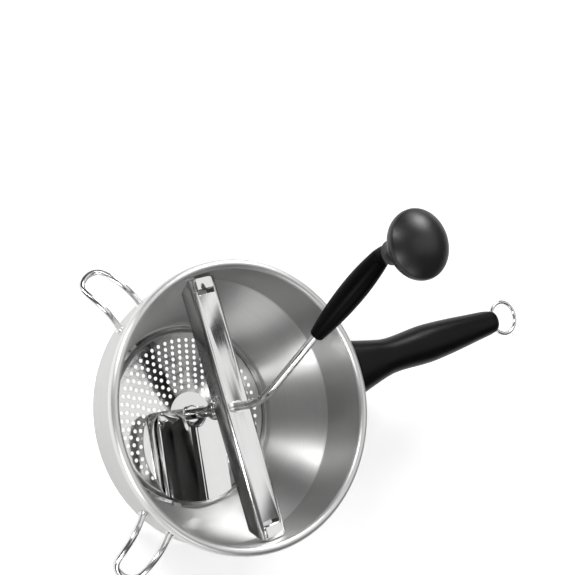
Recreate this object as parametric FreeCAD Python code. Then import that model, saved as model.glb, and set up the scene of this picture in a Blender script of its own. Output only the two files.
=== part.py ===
import FreeCAD, Part
import math
import os

from FreeCAD import Vector

# Rotary food mill. Millimetres, +Z up, +X towards the long handle, cross bar along Y.
# The origin is on the bowl's axis, in the plane of the ring that the bowl stands on.

# Bowl
bowl_height = 92.0
bowl_sheet = 0.8
rim_radius = 106.0
rim_roll_width = 6.8
rim_roll_drop = 6.4
band_depth = 45.0
band_bend = 6.0
well_radius = 71.0
well_depth = 6.0
well_bend = 1.4
ledge_width = 7.0

# Sieve disc and the stops that keep it from turning
disc_sheet = 0.8
disc_edge_gap = 0.4
disc_flange = 2.8
disc_rise = 3.0
disc_step_width = 2.2
disc_bend = 1.0
hole_radius = 1.5
hole_pitch = 6.2
hole_ring_pitch = 4.5
hole_ring_outer = 58.0
hole_ring_count = 9
hole_phase_angle = 76.0
stop_angles = (117.0, -117.0)
stop_width = 6.0
stop_depth = 3.0
stop_height = 3.2
stop_gap = 0.4

# Pivot boss riveted into the disc
boss_radius = 7.0
boss_height = 3.0
boss_spigot_radius = 5.0
boss_rivet_lip = 0.8
boss_edge = 1.0

# Crank rod
rod_radius = 3.0
rod_running_gap = 0.06
rod_seat_gap = 0.02
crank_angle = 48.0
crank_slope = 42.0
crank_bend_above_rim = 17.0
crank_bend_radius = 38.0
crank_reach = 101.0
crank_tip_bend = 8.0
rod_foot_gap = 0.6

# Crank grip, moulded over the sloping run and the upper bend of the rod
grip_start = 62.5
grip_start_radius = 4.8
grip_belly = 106.0
grip_belly_radius = 9.0
grip_end_radius = 6.4
grip_elbow_radius = 7.0
grip_collar_radius = 6.4
grip_collar_height = 9.0
grip_collar_edge = 0.8

# Knob, turning on the upright end of the rod
knob_radius = 23.8
knob_height = 42.5
knob_equator = 30.0
knob_shoulder_radius = 4.5
knob_neck_radius = 8.5
knob_under_radius = 18.5
knob_under_height = 22.0
knob_gap = 0.4
axle_depth = 36.0
axle_head_room = 1.0
clip_from_end = 4.0
clip_thickness = 1.0
clip_radius = 5.0
clip_mouth = 4.0
clip_groove = 1.2
clip_groove_depth = 0.6
clip_gap = 0.4

# Cross bar
bar_below_rim = 14.0
bar_width = 22.0
bar_depth = 16.0
bar_sheet = 1.2
bar_bend = 2.6
bar_end_gap = 2.7
bar_end_slant = 7.0

# Bush in the cross bar
bush_spigot_radius = 4.6
bush_flange_radius = 7.4
bush_flange = 1.5
bush_top_drop = 0.2

# Lugs welded inside the bowl, with a tip that drops into a window of the bar
lug_width = 13.5
lug_sheet = 1.5
lug_reach = 11.8
lug_tip_drop = 3.2
lug_foot = 14.0
lug_bend = 2.0
lug_gap = 0.1
window_length = 4.6
window_gap = 0.35

# Blade: a half-moon plate, raised on its leading side, with a pressed trough
blade_turn = -8.5
blade_sheet = 1.2
blade_gap = 0.6
blade_radius = 66.0
blade_corner_radius = 42.5
blade_corner_angle = -120.0
blade_front = 5.0
blade_trailing = 25.0
blade_ridge = -1.0
blade_trough = -20.0
blade_bank = -36.0
blade_shelf = -45.0
blade_ridge_rise = 8.0
blade_trough_rise = 5.0
blade_bank_rise = 3.8
blade_shelf_rise = 19.5
blade_crest_rise = 23.7
blade_bends = (5.0, 30.0, 7.0, 5.0)
blade_hub_hole = 8.6

# Hub sleeve on the rod, and the cross pin that lies in two notches of the blade and turns it
sleeve_rise = 38.0
sleeve_radius = 4.2
sleeve_gap = 0.3
pin_radius = 1.25
pin_reach = 12.5
pin_rise = 6.3
pin_gap = 0.02

# Spring that presses the bar up against the lugs
spring_wire = 1.4
spring_radius = 5.8
spring_turns = 8
spring_end_bend = 1.6
spring_end_leg = 1.4
spring_arcs_per_turn = 8
spring_top_gap = 0.1
seat_radius = 7.2
seat_thickness = 1.2
seat_gap = 0.1

# Pot hooks, bent from round wire
hook_angles = (123.0, -142.0)
hook_wire = 4.8
hook_below_rim = 33.0
hook_foot_gap = 25.0
hook_shoulder_gap = 21.5
hook_tip_gap = 19.5
hook_crest_out = 15.0
hook_crest_rise = 5.0
hook_shoulder_out = 30.0
hook_shoulder_drop = -1.0
hook_reach = 41.0
hook_tip_drop = 7.0
hook_crest_bend = 14.0
hook_shoulder_bend = 14.0
hook_tip_bend = 9.0
hook_foot_depth = 2.0

# Handle plate and tang, welded to the bowl
handle_below_rim = 17.0
plate_sheet = 1.5
plate_height = 24.0
plate_half_angle = 9.0
tang_width = 14.0
tang_height = 8.0
tang_length = 40.0
tang_edge = 1.5
tang_gap = 0.15
tang_end_gap = 1.0

# Long handle
handle_rim_gap = 0.6
handle_length = 159.8
handle_base_width = 49.0
handle_base_height = 31.0
handle_flare_width = 37.5
handle_flare_height = 28.5
handle_waist_width = 28.5
handle_waist_height = 26.0
handle_belly_width = 31.0
handle_belly_height = 27.0
handle_tip_width = 20.5
handle_tip_height = 18.5
handle_flare_share = 0.10
handle_waist_share = 0.25
handle_belly_share = 0.52
handle_end_round = 9.0
handle_fullness = 2.3
handle_base_reach = 4.0
handle_section_points = 24
handle_end_shares = (0.3, 0.6, 0.85, 1.0)
handle_end_fall_share = 0.9

# Hanging ring through the end of the handle
ring_radius = 13.4
ring_wire = 3.4
ring_hole_from_end = 4.3
ring_hole_gap = 0.4
ring_hole_share = 0.985

# Places worked out from the sizes above
band_radius = rim_radius - rim_roll_width
wall_outside = band_radius + bowl_sheet
ledge_top = bowl_sheet
disc_radius = well_radius - well_bend - disc_edge_gap
disc_rim_top = ledge_top + disc_sheet
disc_step_radius = disc_radius - disc_flange
disc_top = disc_rim_top + disc_rise
boss_top = disc_top + boss_height
boss_bottom = disc_top - disc_sheet - boss_rivet_lip
bar_top = bowl_height - bar_below_rim
bar_half_length = band_radius - bar_end_gap
bush_bottom = bar_top - bar_sheet - bush_flange
blade_trailing_lift = disc_top + blade_gap + blade_sheet / 2
sleeve_top = disc_top + sleeve_rise
pin_height = disc_top + pin_rise
seat_top = sleeve_top + seat_thickness
spring_top = bush_bottom - spring_top_gap
rod_foot = boss_bottom + rod_foot_gap
crank_bend_height = bowl_height + crank_bend_above_rim
crank_tip_height = crank_bend_height + crank_reach * math.tan(math.radians(crank_slope))
crank_run = crank_reach / math.cos(math.radians(crank_slope))
knob_foot = crank_tip_height + grip_collar_height + knob_gap
axle_top = knob_foot + axle_depth
groove_bottom = axle_top - clip_from_end
handle_height = bowl_height - handle_below_rim
handle_start = rim_radius + handle_rim_gap
handle_end = handle_start + handle_length
plate_outside = wall_outside + plate_sheet
tang_end = plate_outside + tang_length
hook_height = bowl_height - hook_below_rim
ring_hole = handle_end - ring_hole_from_end
ring_centre = ring_hole + ring_radius

UP = Vector(0, 0, 1)
ORIGIN = Vector(0, 0, 0)
EPSILON = 1e-6

# How far a cutter runs past the face that it cuts
PAST = 1.0


def offset_points(points, distance):
    """Corners of a line parallel to an open line in the XZ plane, on its left for a positive distance."""
    runs = [(b - a).normalize() for a, b in zip(points, points[1:])]
    normals = [Vector(-run.z, 0, run.x) for run in runs]
    result = []
    for index, point in enumerate(points):
        first = normals[max(index - 1, 0)]
        second = normals[min(index, len(normals) - 1)]
        result.append(point + (first + second) * (distance / (1 + first.dot(second))))
    return result


def rounded_edges(points, radii):
    """Straight runs through the points, joined by a tangent arc of the given radius at each inner corner."""
    edges = []
    here = points[0]
    for before, corner, after, radius in zip(points, points[1:], points[2:], radii):
        come = (corner - before).normalize()
        leave = (after - corner).normalize()
        half_turn = come.getAngle(leave) / 2
        if radius < EPSILON or half_turn < EPSILON:
            stop, start, arc = corner, corner, None
        else:
            tangent = radius * math.tan(half_turn)
            stop = corner - come * tangent
            start = corner + leave * tangent
            inward = (leave - come).normalize()
            middle = corner + inward * (radius / math.cos(half_turn) - radius)
            arc = Part.Arc(stop, middle, start).toShape()
        if (stop - here).Length > EPSILON:
            edges.append(Part.LineSegment(here, stop).toShape())
        if arc:
            edges.append(arc)
        here = start
    if (points[-1] - here).Length > EPSILON:
        edges.append(Part.LineSegment(here, points[-1]).toShape())
    return edges


def sheet_side(middle_line, bends, shift):
    """Corners and bend radii of one side of bent sheet, at a distance to the left of its middle line."""
    points = [Vector(x, 0, z) for x, z in middle_line]
    radii = []
    for before, corner, after, bend in zip(points, points[1:], points[2:], bends):
        turn = (corner - before).cross(after - corner).y
        towards_centre = shift if turn < 0 else -shift
        radii.append(max(bend - towards_centre, 0.0) if bend > 0 else 0.0)
    return offset_points(points, shift), radii


def sheet_face(middle_line, bends, thickness):
    """Section of bent sheet in the XZ plane. Bends are radii at the middle of the sheet."""
    left, left_radii = sheet_side(middle_line, bends, thickness / 2)
    right, right_radii = sheet_side(middle_line, bends, -thickness / 2)
    edges = rounded_edges(left, left_radii) + rounded_edges(right, right_radii)
    edges.append(Part.LineSegment(left[0], right[0]).toShape())
    edges.append(Part.LineSegment(left[-1], right[-1]).toShape())
    return Part.Face(Part.Wire(Part.__sortEdges__(edges)))


def tangent_arc(start, direction, end):
    """Arc that leaves its start in a direction and reaches the end, with its direction there."""
    chord = end - start
    along = Vector(chord).normalize()
    aside = direction - along * direction.dot(along)
    half_angle = direction.getAngle(chord) / 2
    middle = start + chord * 0.5 + aside.normalize() * (chord.Length / 2 * math.tan(half_angle))
    leaving = along * (2 * direction.dot(along)) - direction
    return Part.Arc(start, middle, end).toShape(), leaving


def spun(face):
    """Solid of a section in the XZ plane turned about the Z axis."""
    return face.revolve(ORIGIN, UP, 360)


def outline_face(points):
    """Flat face in the XZ plane with straight sides."""
    corners = [Vector(x, 0, z) for x, z in points]
    return Part.Face(Part.makePolygon(corners + corners[:1]))


def cylinder(radius, bottom, top, x=0.0, y=0.0):
    """Upright cylinder between two heights."""
    return Part.makeCylinder(radius, top - bottom, Vector(x, y, bottom))


def tube(outer, inner, bottom, top):
    """Upright tube between two heights, on the Z axis."""
    return cylinder(outer, bottom, top).cut(cylinder(inner, bottom - PAST, top + PAST))


def box(low, high):
    """Box between two corners."""
    size = [b - a for a, b in zip(low, high)]
    return Part.makeBox(*size, Vector(*low))


def turned(shape, degrees):
    """Copy of a shape turned about the Z axis."""
    copy = shape.copy()
    copy.rotate(ORIGIN, UP, degrees)
    return copy


def bent_rod(points, bends, radius):
    """Round rod along straight runs joined by tangent arcs."""
    path = Part.Wire(rounded_edges(points, bends))
    section = Part.Wire(Part.makeCircle(radius, points[0], points[1] - points[0]))
    return path.makePipeShell([section], True, False)


def make_bowl():
    """Spun bowl: inward ledge, disc well, cone, straight band and rolled rim."""
    half = bowl_sheet / 2
    inner_roll = band_radius + half
    outer_roll = rim_radius - half
    roll_bend = (outer_roll - inner_roll) / 2
    line = (
        (well_radius - ledge_width, half),
        (well_radius + half, half),
        (well_radius + half, ledge_top + well_depth),
        (inner_roll, bowl_height - band_depth),
        (inner_roll, bowl_height - half),
        (outer_roll, bowl_height - half),
        (outer_roll, bowl_height - rim_roll_drop),
    )
    return spun(sheet_face(line, (well_bend, well_bend, band_bend, roll_bend, roll_bend), bowl_sheet))


def make_stop_block(gap):
    """One stop on the ledge against the well's wall, or its notch when a gap is given."""
    half_width = stop_width / 2 + gap
    block = box((well_radius - stop_depth - gap, -half_width, ledge_top),
                (well_radius + well_bend, half_width, ledge_top + stop_height))
    return block


def make_disc_stops():
    """Two small stops welded on the ledge."""
    bend_clear = ledge_top + well_bend
    stop = make_stop_block(0.0).common(cylinder(well_radius, ledge_top, bowl_height))
    chamfer = outline_face(((well_radius - well_bend, ledge_top), (well_radius, ledge_top),
                            (well_radius, bend_clear)))
    stop = stop.cut(spun(chamfer))
    return Part.makeCompound([turned(stop, angle) for angle in stop_angles])


def make_sieve_disc():
    """Raised flat plate with rings of holes in step, on a flange notched for the stops."""
    half = disc_sheet / 2
    rim = disc_rim_top - half
    plate = disc_top - half
    line = (
        (boss_spigot_radius + rod_seat_gap, plate),
        (disc_step_radius - disc_step_width, plate),
        (disc_step_radius, rim),
        (disc_radius, rim),
    )
    disc = spun(sheet_face(line, (disc_bend, disc_bend), disc_sheet))
    cutters = [turned(make_stop_block(stop_gap), angle) for angle in stop_angles]
    for ring in range(hole_ring_count):
        radius = hole_ring_outer - ring * hole_ring_pitch
        count = int(2 * math.pi * radius / hole_pitch)
        for hole in range(count):
            angle = math.radians(hole_phase_angle + 360.0 * hole / count)
            cutters.append(cylinder(hole_radius, disc_rim_top, disc_top + disc_sheet,
                                    radius * math.cos(angle), radius * math.sin(angle)))
    return disc.cut(Part.makeCompound(cutters))


def make_disc_boss():
    """Turned boss with a spigot through the disc and a bore for the rod's foot."""
    bore = rod_radius + rod_running_gap
    section = outline_face((
        (bore, boss_bottom),
        (boss_spigot_radius, boss_bottom),
        (boss_spigot_radius, disc_top),
        (boss_radius, disc_top),
        (boss_radius, boss_top - boss_edge),
        (boss_radius - boss_edge, boss_top),
        (bore, boss_top),
    ))
    return spun(section)


def make_lug():
    """Bent strip at the +Y end: foot on the wall, tongue over the bar, tip turned down."""
    half = lug_sheet / 2
    tongue = bar_top + lug_gap + half
    foot = band_radius - half
    tip = band_radius - lug_reach + half
    line = (
        (foot, tongue - lug_foot),
        (foot, tongue),
        (tip, tongue),
        (tip, bar_top - lug_tip_drop),
    )
    face = sheet_face(line, (lug_bend, half), lug_sheet)
    strip = face.extrude(Vector(0, lug_width, 0))
    strip.translate(Vector(0, -lug_width / 2, 0))
    strip = strip.common(cylinder(band_radius, 0, bowl_height))
    return turned(strip, 90)


def make_cross_bar():
    """Channel that opens downwards, with slanted ends, a lug window near each end and a bush hole."""
    half = bar_sheet / 2
    side = bar_width / 2 - half
    low = bar_top - bar_depth
    line = ((-side, low), (-side, bar_top - half), (side, bar_top - half), (side, low))
    bar = sheet_face(line, (bar_bend, bar_bend), bar_sheet).extrude(Vector(0, 2 * bar_half_length, 0))
    bar.translate(Vector(0, -bar_half_length, 0))
    end_slice = outline_face((
        (bar_half_length, bar_top - bar_bend),
        (bar_half_length - bar_end_slant, low - PAST),
        (bar_half_length + PAST, low - PAST),
        (bar_half_length + PAST, bar_top - bar_bend),
    )).extrude(Vector(0, bar_width, 0))
    end_slice.translate(Vector(0, -bar_width / 2, 0))
    window_out = band_radius - lug_reach + lug_sheet + window_gap
    half_window = lug_width / 2 + window_gap
    window = box((-half_window, window_out - window_length, bar_top - 2 * bar_sheet),
                 (half_window, window_out, bar_top + PAST))
    for angle in (0, 180):
        bar = bar.cut(turned(end_slice, angle + 90)).cut(turned(window, angle))
    return bar.cut(cylinder(bush_spigot_radius + rod_seat_gap, low, bar_top + PAST))


def make_bar_bush():
    """Flanged bush under the bar's top, with its spigot in the bar's hole."""
    bore = rod_radius + rod_running_gap
    spigot = tube(bush_spigot_radius, bore, bush_bottom, bar_top - bush_top_drop)
    flange = tube(bush_flange_radius, bore, bush_bottom, bush_bottom + bush_flange)
    return spigot.fuse(flange).removeSplitter()


def blade_middle_line():
    """Middle of the blade's sheet in its own XZ plane, from the trailing edge to the raised crest."""
    return (
        (blade_trailing, blade_trailing_lift),
        (blade_ridge, disc_top + blade_ridge_rise),
        (blade_trough, disc_top + blade_trough_rise),
        (blade_bank, disc_top + blade_bank_rise),
        (blade_shelf, disc_top + blade_shelf_rise),
        (-blade_radius, disc_top + blade_crest_rise),
    )


def along_blade(face):
    """Solid of a section carried from the blade's front edge to its outer edge."""
    section = face.copy()
    section.translate(Vector(0, blade_front, 0))
    return section.extrude(Vector(0, -blade_front - blade_radius, 0))


def blade_plan():
    """Upright solid over the blade's plan: a half-moon that is drawn in at its raised corner."""
    joint = math.radians(blade_corner_angle)
    inset = blade_radius - blade_corner_radius
    centre = Vector(inset * math.cos(joint), inset * math.sin(joint), 0)
    across = math.sqrt(blade_corner_radius ** 2 - (blade_front - centre.y) ** 2)
    corner_end = Vector(centre.x - across, blade_front, 0)
    end_angle = math.atan2(corner_end.y - centre.y, corner_end.x - centre.x)
    middle_angle = (joint + 2 * math.pi + end_angle) / 2
    middle = centre + Vector(math.cos(middle_angle), math.sin(middle_angle), 0) * blade_corner_radius
    meeting = Vector(blade_radius * math.cos(joint), blade_radius * math.sin(joint), 0)
    front_end = Vector(math.sqrt(blade_radius ** 2 - blade_front ** 2), blade_front, 0)
    edges = [Part.Arc(front_end, Vector(0, -blade_radius, 0), meeting).toShape()]
    edges.append(Part.Arc(meeting, middle, corner_end).toShape())
    edges.append(Part.makeLine(corner_end, front_end))
    return Part.Face(Part.Wire(edges)).extrude(Vector(0, 0, bowl_height))


def make_blade():
    """Half-moon plate with its hub opening and the notches for the cross pin."""
    blade = along_blade(sheet_face(blade_middle_line(), blade_bends, blade_sheet))
    blade = blade.common(blade_plan())
    blade = blade.cut(cylinder(blade_hub_hole, 0, bowl_height))
    reach = pin_reach + pin_gap
    half = pin_radius + pin_gap
    blade = blade.cut(box((-reach, -half, 0), (reach, half, bowl_height)))
    return turned(max(blade.Solids, key=lambda solid: solid.Volume), blade_turn)


def pin_solid(radius):
    """Cross pin through sleeve and rod, along the blade's front edge."""
    foot = Vector(-pin_reach, 0, pin_height)
    return turned(Part.makeCylinder(radius, 2 * pin_reach, foot, Vector(1, 0, 0)), blade_turn)


def make_hub_sleeve():
    """Sleeve round the rod between the boss and the spring's seat."""
    sleeve = tube(sleeve_radius, rod_radius + rod_seat_gap, boss_top + sleeve_gap, sleeve_top)
    return sleeve.cut(pin_solid(pin_radius + pin_gap))


def make_spring_seat():
    """Washer on the sleeve."""
    return tube(seat_radius, rod_radius + seat_gap, sleeve_top, seat_top)


def spring_path():
    """Edges of the spring's middle line: an upright end, coils of equal tangent arcs, an upright end."""
    step = 2 * math.pi / spring_arcs_per_turn
    corner_radius = spring_radius / math.cos(step / 2)
    end_height = spring_end_leg + spring_end_bend
    coil_bottom = seat_top + end_height
    coil_top = spring_top - end_height
    count = spring_turns * spring_arcs_per_turn
    rise = (coil_top - coil_bottom) / (count - 1)
    corners = []
    for index in range(count):
        angle = step * index
        corners.append(Vector(corner_radius * math.cos(angle), corner_radius * math.sin(angle),
                              coil_bottom + rise * index))
    half_run = (corners[1] - corners[0]).Length / 2
    turn = (corners[1] - corners[0]).getAngle(corners[2] - corners[1])
    coil_bend = half_run / math.tan(turn / 2)
    first = Vector(corners[0].x, corners[0].y, seat_top)
    last = Vector(corners[-1].x, corners[-1].y, spring_top)
    bends = [spring_end_bend] + [coil_bend] * (count - 2) + [spring_end_bend]
    return rounded_edges([first, *corners, last], bends)


def spring_least_gap(edges):
    """Least gap between parts of the wire that are more than half a turn apart along it."""
    wire = Part.Wire(edges)
    spacing = spring_wire / 4
    points = wire.discretize(Distance=spacing)
    apart = int(math.pi * spring_radius / spacing)
    least = min((a - b).Length for i, a in enumerate(points) for b in points[i + apart:])
    return least - spring_wire


def make_spring():
    """Open coil spring of round wire."""
    edges = spring_path()
    print("spring least gap to itself %.2f mm" % spring_least_gap(edges))
    start = edges[0].valueAt(edges[0].FirstParameter)
    section = Part.Wire(Part.makeCircle(spring_wire / 2, start, UP))
    return Part.Wire(edges).makePipeShell([section], True, False)


def rod_points():
    """Corners of the crank rod in the XZ plane."""
    return [
        Vector(0, 0, rod_foot),
        Vector(0, 0, crank_bend_height),
        Vector(crank_reach, 0, crank_tip_height),
        Vector(crank_reach, 0, axle_top),
    ]


def rod_solid(radius):
    """The crank rod's run as a solid of a given radius, in the XZ plane."""
    return bent_rod(rod_points(), (crank_bend_radius, crank_tip_bend), radius)


def make_crank_rod():
    """Rod with a pin hole at the hub and a clip groove near its upper end."""
    groove_top = groove_bottom + clip_groove
    groove = tube(rod_radius + PAST, rod_radius - clip_groove_depth, groove_bottom, groove_top)
    groove.translate(Vector(crank_reach, 0, 0))
    rod = turned(rod_solid(rod_radius).cut(groove), crank_angle)
    return rod.cut(pin_solid(pin_radius + pin_gap))


def make_crank_grip():
    """Grip with a belly on the rod's slope, an elbow over its bend and a collar under the knob."""
    axis_start = Vector(0, 0, grip_start)
    axis_end = Vector(0, 0, crank_run)
    start = Vector(grip_start_radius, 0, grip_start)
    belly = Vector(grip_belly_radius, 0, grip_belly)
    end = Vector(grip_end_radius, 0, crank_run)
    lower = tangent_arc(belly, Vector(0, 0, -1), start)[0]
    upper = tangent_arc(belly, UP, end)[0]
    edges = [lower, upper] + Part.makePolygon([end, axis_end, axis_start, start]).Edges
    grip = spun(Part.Face(Part.Wire(Part.__sortEdges__(edges))))
    grip.rotate(ORIGIN, Vector(0, 1, 0), 90 - crank_slope)
    grip.translate(Vector(0, 0, crank_bend_height))
    corner = Vector(crank_reach, 0, crank_tip_height)
    elbow = Part.makeSphere(grip_elbow_radius, corner)
    collar_top = crank_tip_height + grip_collar_height
    collar = spun(outline_face((
        (0, crank_tip_height),
        (grip_collar_radius, crank_tip_height),
        (grip_collar_radius, collar_top - grip_collar_edge),
        (grip_collar_radius - grip_collar_edge, collar_top),
        (0, collar_top),
    )))
    collar.translate(Vector(crank_reach, 0, 0))
    grip = grip.fuse([elbow, collar]).cut(rod_solid(rod_radius + rod_seat_gap))
    return turned(grip, crank_angle)


def knob_place(shape):
    """Copy of a shape moved from the Z axis to the knob's axis."""
    copy = shape.copy()
    copy.translate(Vector(crank_reach, 0, 0))
    return turned(copy, crank_angle)


def make_knob():
    """Mushroom knob with a bore for the rod's end and a room for its clip."""
    equator = knob_foot + knob_equator
    dome = knob_height - knob_equator
    side = knob_radius - knob_shoulder_radius
    crown_radius = (side ** 2 + dome ** 2 - knob_shoulder_radius ** 2) / (2 * (dome - knob_shoulder_radius))
    lean = math.atan2(crown_radius - dome, side)
    junction = Vector(side + knob_shoulder_radius * math.cos(lean), 0,
                      equator + knob_shoulder_radius * math.sin(lean))
    belt = Vector(knob_radius, 0, equator)
    top = Vector(0, 0, knob_foot + knob_height)
    under = Vector(knob_under_radius, 0, knob_foot + knob_under_height)
    foot = Vector(knob_neck_radius, 0, knob_foot)
    shoulder, leaving = tangent_arc(belt, UP, junction)
    crown = tangent_arc(junction, leaving, top)[0]
    lower, leaving = tangent_arc(belt, Vector(0, 0, -1), under)
    neck = tangent_arc(under, leaving, foot)[0]
    edges = [shoulder, crown, lower, neck]
    edges += Part.makePolygon([foot, Vector(0, 0, knob_foot), top]).Edges
    knob = spun(Part.Face(Part.Wire(Part.__sortEdges__(edges))))
    room_bottom = groove_bottom - clip_gap
    knob = knob.cut(cylinder(rod_radius + rod_running_gap, knob_foot - PAST, room_bottom + PAST))
    knob = knob.cut(cylinder(clip_radius + clip_gap, room_bottom, axle_top + axle_head_room))
    return knob_place(knob)


def make_knob_clip():
    """Open retaining clip in the rod's groove."""
    bottom = groove_bottom + (clip_groove - clip_thickness) / 2
    clip = tube(clip_radius, rod_radius - clip_groove_depth + rod_seat_gap, bottom, bottom + clip_thickness)
    clip = clip.cut(box((0, -clip_mouth / 2, bottom - PAST), (clip_radius + PAST, clip_mouth / 2, axle_top)))
    return knob_place(clip)


def make_hook(angle):
    """Wire loop that rises from the wall, turns over and drops to a round tip."""
    slant = (hook_foot_gap - hook_shoulder_gap) / hook_shoulder_out
    crest_gap = hook_foot_gap - slant * hook_crest_out
    side = (
        (-hook_foot_depth, hook_foot_gap, -hook_foot_depth * hook_crest_rise / hook_crest_out),
        (hook_crest_out, crest_gap, hook_crest_rise),
        (hook_shoulder_out, hook_shoulder_gap, -hook_shoulder_drop),
        (hook_reach, hook_tip_gap, -hook_tip_drop),
    )
    points = [Vector(wall_outside + out, -gap / 2, hook_height + rise) for out, gap, rise in side]
    points += [Vector(wall_outside + out, gap / 2, hook_height + rise) for out, gap, rise in reversed(side)]
    bends = (hook_crest_bend, hook_shoulder_bend, hook_tip_bend)
    hook = bent_rod(points, bends + bends[::-1], hook_wire / 2)
    return turned(hook.cut(cylinder(wall_outside, 0, bowl_height)), angle)


def make_handle_plate():
    """Curved plate against the bowl's wall."""
    low = handle_height - plate_height / 2
    section = outline_face((
        (wall_outside, low),
        (plate_outside, low),
        (plate_outside, low + plate_height),
        (wall_outside, low + plate_height),
    ))
    return turned(section.revolve(ORIGIN, UP, 2 * plate_half_angle), -plate_half_angle)


def tang_box(gap, end_gap):
    """Flat bar that the handle slides on, or its pocket when gaps are given."""
    half_width = tang_width / 2 + gap
    half_height = tang_height / 2 + gap
    return box((wall_outside, -half_width, handle_height - half_height),
               (tang_end + end_gap, half_width, handle_height + half_height))


def make_handle_tang():
    """Tang with bevelled end, trimmed to the plate's curve."""
    tang = tang_box(0.0, 0.0)
    end_edges = [edge for edge in tang.Edges if edge.BoundBox.XMin > tang_end - EPSILON]
    tang = tang.makeChamfer(tang_edge, end_edges)
    return tang.cut(cylinder(plate_outside, 0, bowl_height))


def handle_section(x, width, height):
    """Closed smooth section of the handle across X."""
    points = []
    power = 2 / handle_fullness
    for index in range(handle_section_points):
        angle = 2 * math.pi * index / handle_section_points
        y = math.copysign(abs(math.cos(angle)) ** power, math.cos(angle))
        z = math.copysign(abs(math.sin(angle)) ** power, math.sin(angle))
        points.append(Vector(x, y * width / 2, handle_height + z * height / 2))
    curve = Part.BSplineCurve()
    curve.interpolate(points, PeriodicFlag=True)
    return Part.Wire(curve.toShape())


def make_handle_grip():
    """Long handle: flared base, waist, belly and round end, with a tang pocket and a ring hole."""
    start = handle_start - handle_base_reach
    tip = handle_end - handle_end_round
    sizes = [
        (start, handle_base_width, handle_base_height),
        (handle_start + handle_flare_share * handle_length, handle_flare_width, handle_flare_height),
        (handle_start + handle_waist_share * handle_length, handle_waist_width, handle_waist_height),
        (handle_start + handle_belly_share * handle_length, handle_belly_width, handle_belly_height),
        (tip, handle_tip_width, handle_tip_height),
    ]
    for part in handle_end_shares:
        share = math.sqrt(1 - handle_end_fall_share * part ** 2)
        sizes.append((tip + part * handle_end_round, handle_tip_width * share, handle_tip_height * share))
    grip = Part.makeLoft([handle_section(*size) for size in sizes], True, False)
    grip = grip.cut(cylinder(handle_start, 0, 2 * bowl_height))
    grip = grip.cut(tang_box(tang_gap, tang_end_gap))
    return grip.cut(ring_passage())


def ring_passage():
    """Hole across the handle's end, belled round the ring so that the ring swings in it."""
    bore = ring_wire / 2 + ring_hole_gap
    curve = ring_radius - bore
    half_width = ring_hole_share * curve
    mouth = Vector(ring_radius - math.sqrt(curve ** 2 - half_width ** 2), 0, half_width)
    other = Vector(mouth.x, 0, -half_width)
    edges = [Part.Arc(mouth, Vector(bore, 0, 0), other).toShape()]
    edges += Part.makePolygon([other, Vector(0, 0, -half_width), Vector(0, 0, half_width), mouth]).Edges
    passage = spun(Part.Face(Part.Wire(Part.__sortEdges__(edges))))
    passage.rotate(ORIGIN, Vector(1, 0, 0), 90)
    passage.translate(Vector(ring_hole, 0, handle_height))
    return passage


def make_hanging_ring():
    """Closed wire ring, flat with the handle."""
    return Part.makeTorus(ring_radius, ring_wire / 2, Vector(ring_centre, 0, handle_height), UP)


def export(shape, node):
    """Write one node."""
    shape.exportStep("parts/" + node + ".step")


os.makedirs("parts", exist_ok=True)
export(make_bowl(), "bowl")
export(make_disc_stops(), "disc_stops")
export(make_sieve_disc(), "sieve_disc")
export(make_disc_boss(), "disc_boss")
export(make_lug(), "lug_left")
export(turned(make_lug(), 180), "lug_right")
export(make_cross_bar(), "cross_bar")
export(make_bar_bush(), "bar_bush")
export(make_blade(), "blade")
export(make_hub_sleeve(), "hub_sleeve")
export(pin_solid(pin_radius), "hub_pin")
export(make_spring_seat(), "spring_seat")
export(make_spring(), "spring")
export(make_crank_rod(), "crank_rod")
export(make_crank_grip(), "crank_grip")
export(make_knob(), "knob")
export(make_knob_clip(), "knob_clip")
export(make_hook(hook_angles[0]), "hook_left")
export(make_hook(hook_angles[1]), "hook_right")
export(make_handle_plate(), "handle_plate")
export(make_handle_tang(), "handle_tang")
export(make_handle_grip(), "handle_grip")
export(make_hanging_ring(), "hanging_ring")
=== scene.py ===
import math

import bmesh
import bpy
from bpy.props import FloatProperty, FloatVectorProperty, IntProperty, PointerProperty
from mathutils import Matrix, Vector


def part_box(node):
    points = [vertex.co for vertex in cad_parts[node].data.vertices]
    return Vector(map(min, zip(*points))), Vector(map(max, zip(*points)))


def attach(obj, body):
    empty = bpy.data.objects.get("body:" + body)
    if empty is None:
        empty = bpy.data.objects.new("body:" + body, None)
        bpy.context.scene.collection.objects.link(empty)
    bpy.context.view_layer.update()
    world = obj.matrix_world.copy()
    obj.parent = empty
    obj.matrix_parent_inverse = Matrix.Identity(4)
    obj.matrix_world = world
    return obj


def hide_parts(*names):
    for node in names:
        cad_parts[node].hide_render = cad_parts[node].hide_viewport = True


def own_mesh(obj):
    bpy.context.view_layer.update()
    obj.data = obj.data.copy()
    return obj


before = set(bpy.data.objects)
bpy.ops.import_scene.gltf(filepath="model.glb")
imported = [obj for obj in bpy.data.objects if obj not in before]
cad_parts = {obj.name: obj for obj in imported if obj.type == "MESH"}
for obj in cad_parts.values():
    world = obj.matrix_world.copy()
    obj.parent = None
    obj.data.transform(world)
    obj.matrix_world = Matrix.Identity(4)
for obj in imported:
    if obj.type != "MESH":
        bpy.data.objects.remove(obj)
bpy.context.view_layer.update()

bl_info = {
    "name": "Food Mill",
    "version": (1, 0, 0),
    "blender": (4, 5, 0),
    "location": "View3D > Sidebar > Food Mill",
    "description": "Builds the visible pieces of a hand-cranked food mill on its fixed frame",
    "category": "Object",
}

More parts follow.
